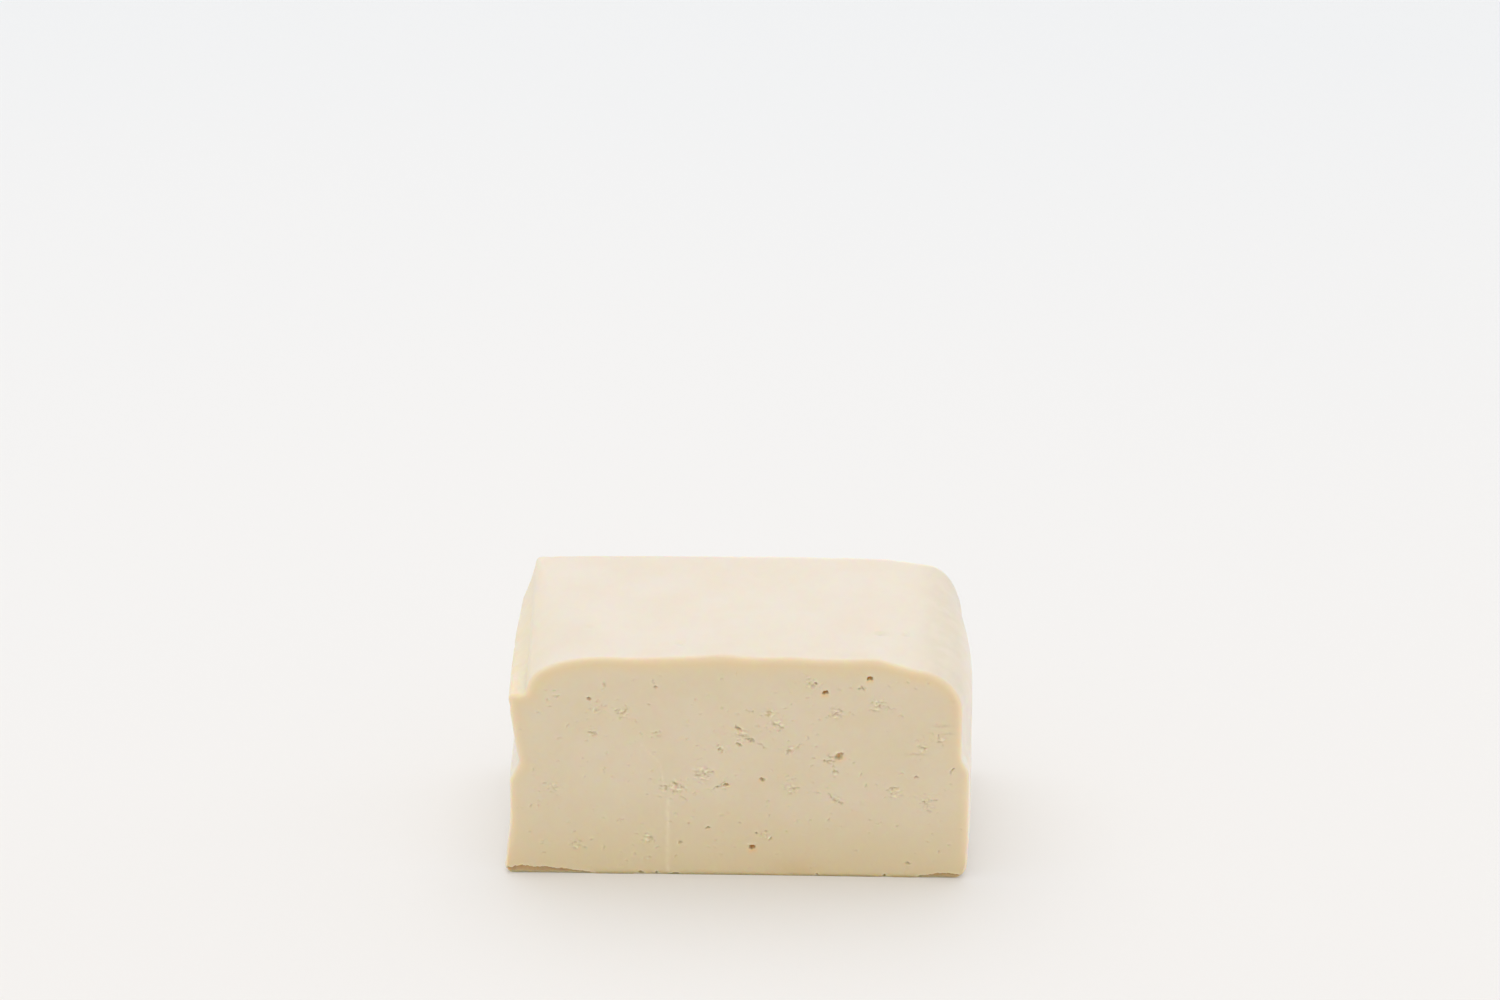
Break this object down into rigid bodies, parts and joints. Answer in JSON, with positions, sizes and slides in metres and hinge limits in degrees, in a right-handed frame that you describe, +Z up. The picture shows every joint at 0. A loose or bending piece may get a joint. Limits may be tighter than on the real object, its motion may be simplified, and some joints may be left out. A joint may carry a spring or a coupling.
{
  "type": "tofu block",
  "caption": "Cut half block of plain firm tofu: flat porous cut face in front, smooth moulded skin with soft shoulders on the other sides, flat base.",
  "frame": {"origin": "middle of the block's box at base level, on the flat base", "axes": "+X along the cut face, from left to right as seen facing the cut; +Y from the cut face towards the rounded moulded end; +Z up"},
  "size_m": [0.0764, 0.0432, 0.0391],
  "materials": {
    "curd": "moist pale cream curd, softly scattering, with a satin skin and a matt cut face"
  },
  "bodies": {
    "root": {"tofu_block": "curd"}
  },
  "joints": []
}
